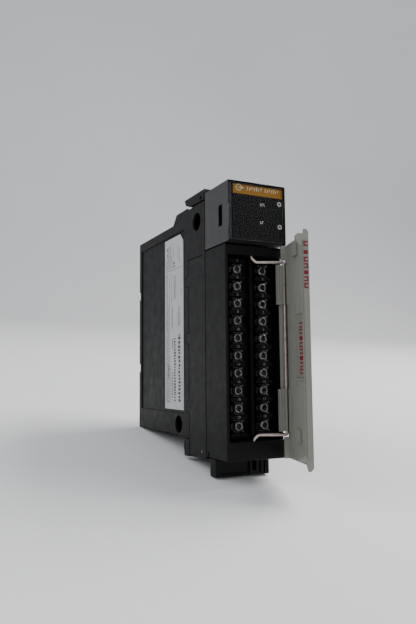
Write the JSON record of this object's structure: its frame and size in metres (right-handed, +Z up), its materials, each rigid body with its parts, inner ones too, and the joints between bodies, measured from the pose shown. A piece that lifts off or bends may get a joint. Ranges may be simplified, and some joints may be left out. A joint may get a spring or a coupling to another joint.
{
  "type": "plc output module",
  "caption": "Slim upright control-rack output module with a status head, plug-on screw terminal block, wire bail and open hinged door.",
  "frame": {"origin": "centre of the backplane plug mating face, on the middle plane of the module width", "axes": "+Y towards the rack backplane, -Y is the front with the door, +Z up, +X to the right seen from the front"},
  "size_m": [0.0361, 0.1702, 0.1569],
  "materials": {
    "case_grey": "fine moulded texture",
    "block_black": "satin moulded",
    "smoked_lens": "smoked polycarbonate",
    "amber_card": "printed card",
    "black_card": "printed card",
    "light_pipe": "clear moulded",
    "door_grey": "satin moulded",
    "plated_steel": "nickel plated",
    "label_paper": "printed polyester label",
    "board_green": "solder mask",
    "chip_black": "moulded epoxy",
    "can_aluminium": "satin"
  },
  "bodies": {
    "module": {"left_side_cover": "case_grey", "case_shell": "case_grey", "front_frame": "case_grey", "top_latch_pin": "plated_steel", "bottom_latch_pin": "plated_steel", "rating_label": "label_paper", "status_lens": "smoked_lens", "status_housing": "block_black", "status_card": "black_card", "function_band": "amber_card", "light_pipe_upper": "light_pipe", "light_pipe_lower": "light_pipe", "led_upper": "light_pipe", "led_lower": "light_pipe", "main_board": "board_green", "output_chip_1": "chip_black", "output_chip_2": "chip_black", "output_chip_3": "chip_black", "output_chip_4": "chip_black", "power_converter": "chip_black", "capacitor_1": "can_aluminium", "capacitor_2": "can_aluminium", "isolation_transformer": "chip_black", "backplane_plug": "chip_black", "pin_header": "chip_black"},
    "top_latch": {"top_latch": "case_grey"},
    "bottom_latch": {"bottom_latch": "case_grey"},
    "terminal_block": {"terminal_housing": "block_black", "terminal_base": "block_black", "cable_tie_bar": "block_black", "terminal_screw_left_1": "plated_steel", "terminal_screw_left_2": "plated_steel", "terminal_screw_left_3": "plated_steel", "terminal_screw_left_4": "plated_steel", "terminal_screw_left_5": "plated_steel", "terminal_screw_left_6": "plated_steel", "terminal_screw_left_7": "plated_steel", "terminal_screw_left_8": "plated_steel", "terminal_screw_left_9": "plated_steel", "terminal_screw_left_10": "plated_steel", "terminal_screw_right_1": "plated_steel", "terminal_screw_right_2": "plated_steel", "terminal_screw_right_3": "plated_steel", "terminal_screw_right_4": "plated_steel", "terminal_screw_right_5": "plated_steel", "terminal_screw_right_6": "plated_steel", "terminal_screw_right_7": "plated_steel", "terminal_screw_right_8": "plated_steel", "terminal_screw_right_9": "plated_steel", "terminal_screw_right_10": "plated_steel"},
    "bail": {"bail_wire": "plated_steel"},
    "door": {"terminal_door": "door_grey", "door_edge_label": "door_grey", "pull_label": "door_grey"}
  },
  "joints": [
    {"name": "top_latch_rock", "type": "hinge", "parent": "module", "child": "top_latch", "pos_m": [0, -0.1058, 0.0714], "axis": [-1, 0, 0], "range_deg": [0, 2.5], "stiffness_Nm_per_rad": 0.05, "springref_deg": -5.73},
    {"name": "bottom_latch_rock", "type": "hinge", "parent": "module", "child": "bottom_latch", "pos_m": [0, -0.1043, -0.0698], "axis": [1, 0, 0], "range_deg": [0, 2.5], "stiffness_Nm_per_rad": 0.05, "springref_deg": -5.73},
    {"name": "block_slide", "type": "slide", "parent": "module", "child": "terminal_block", "axis": [0, -1, 0], "range_m": [0, 0.012]},
    {"name": "bail_swing", "type": "hinge", "parent": "terminal_block", "child": "bail", "pos_m": [-0.0008, -0.133, -0.0143], "axis": [0, 0, -1], "range_deg": [0, 25]},
    {"name": "door_swing", "type": "hinge", "parent": "bail", "child": "door", "pos_m": [0.0156, -0.1391, -0.0143], "axis": [0, 0, 1], "range_deg": [-75, 15]}
  ]
}
